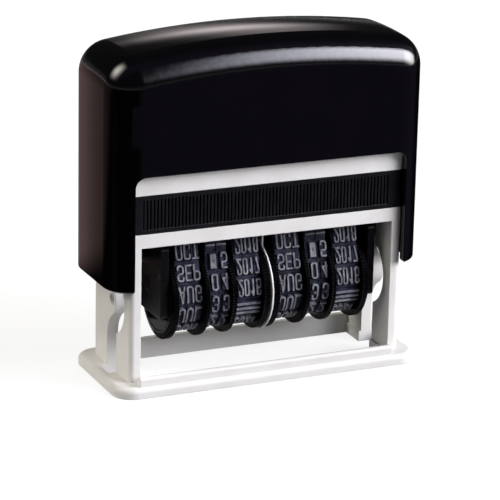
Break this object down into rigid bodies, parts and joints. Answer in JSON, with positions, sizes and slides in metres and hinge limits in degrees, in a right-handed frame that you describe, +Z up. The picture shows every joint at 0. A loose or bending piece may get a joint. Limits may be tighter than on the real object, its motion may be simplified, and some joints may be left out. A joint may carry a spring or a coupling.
{
  "type": "self-inking date stamp",
  "caption": "Self-inking office stamp that prints two dates side by side: a push cap over a slotted frame, turning type bands set by knurled thumb wheels, and a pull-out ink pad.",
  "frame": {"origin": "middle of the base flange's underside, where the stamp stands on the paper", "axes": "+X along the stamp to the right, -Y to the front, +Z up towards the cap"},
  "size_m": [0.0716, 0.0284, 0.0746],
  "materials": {
    "frame_plastic": "satin white",
    "cap_plastic": "glossy black",
    "pad_plastic": "semi-matt black",
    "felt": "inked felt",
    "carrier_plastic": "satin black",
    "wheel_plastic": "satin black",
    "band_rubber": "dark blue-grey rubber",
    "separator": "white sheet",
    "steel": "bright wire and pin steel"
  },
  "bodies": {
    "frame": {"inner_frame": "frame_plastic"},
    "ink_pad": {"ink_pad_tray": "pad_plastic", "ink_pad_felt": "felt"},
    "cap": {"outer_cap": "cap_plastic", "return_spring": "steel"},
    "carrier": {"left_cheek": "carrier_plastic", "right_cheek": "carrier_plastic", "print_bridge": "carrier_plastic", "wheel_axle": "steel", "pivot_pin_left": "steel", "pivot_pin_right": "steel", "centre_separator": "separator", "first_month_band": "band_rubber", "first_day_tens_band": "band_rubber", "first_day_ones_band": "band_rubber", "first_year_band": "band_rubber", "second_month_band": "band_rubber", "second_day_tens_band": "band_rubber", "second_day_ones_band": "band_rubber", "second_year_band": "band_rubber"},
    "first_month_wheel": {"first_month_wheel": "wheel_plastic"},
    "first_day_tens_wheel": {"first_day_tens_wheel": "wheel_plastic"},
    "first_day_ones_wheel": {"first_day_ones_wheel": "wheel_plastic"},
    "first_year_wheel": {"first_year_wheel": "wheel_plastic"},
    "second_month_wheel": {"second_month_wheel": "wheel_plastic"},
    "second_day_tens_wheel": {"second_day_tens_wheel": "wheel_plastic"},
    "second_day_ones_wheel": {"second_day_ones_wheel": "wheel_plastic"},
    "second_year_wheel": {"second_year_wheel": "wheel_plastic"}
  },
  "joints": [
    {"name": "cap_press", "type": "slide", "parent": "frame", "child": "cap", "axis": [0, 0, -1], "range_m": [0, 0.0195], "stiffness_N_per_m": 250, "springref_m": -0.02, "deforming": ["return_spring"]},
    {"name": "carrier_flip", "type": "hinge", "parent": "cap", "child": "carrier", "pos_m": [0, 0, 0.0271], "axis": [1, 0, 0], "range_deg": [0, 180]},
    {"name": "pad_slide", "type": "slide", "parent": "frame", "child": "ink_pad", "axis": [0, 1, 0], "range_m": [-0.018, 0]},
    {"name": "first_month_turn", "type": "hinge", "parent": "carrier", "child": "first_month_wheel", "pos_m": [0, 0, 0.01775], "axis": [1, 0, 0], "continuous": true},
    {"name": "first_day_tens_turn", "type": "hinge", "parent": "carrier", "child": "first_day_tens_wheel", "pos_m": [0, 0, 0.01775], "axis": [1, 0, 0], "continuous": true},
    {"name": "first_day_ones_turn", "type": "hinge", "parent": "carrier", "child": "first_day_ones_wheel", "pos_m": [0, 0, 0.01775], "axis": [1, 0, 0], "continuous": true},
    {"name": "first_year_turn", "type": "hinge", "parent": "carrier", "child": "first_year_wheel", "pos_m": [0, 0, 0.01775], "axis": [1, 0, 0], "continuous": true},
    {"name": "second_month_turn", "type": "hinge", "parent": "carrier", "child": "second_month_wheel", "pos_m": [0, 0, 0.01775], "axis": [1, 0, 0], "continuous": true},
    {"name": "second_day_tens_turn", "type": "hinge", "parent": "carrier", "child": "second_day_tens_wheel", "pos_m": [0, 0, 0.01775], "axis": [1, 0, 0], "continuous": true},
    {"name": "second_day_ones_turn", "type": "hinge", "parent": "carrier", "child": "second_day_ones_wheel", "pos_m": [0, 0, 0.01775], "axis": [1, 0, 0], "continuous": true},
    {"name": "second_year_turn", "type": "hinge", "parent": "carrier", "child": "second_year_wheel", "pos_m": [0, 0, 0.01775], "axis": [1, 0, 0], "continuous": true}
  ],
  "couplings": [
    {"joint": "carrier_flip", "follows": "cap_press", "rad_per_m": 161.11}
  ]
}
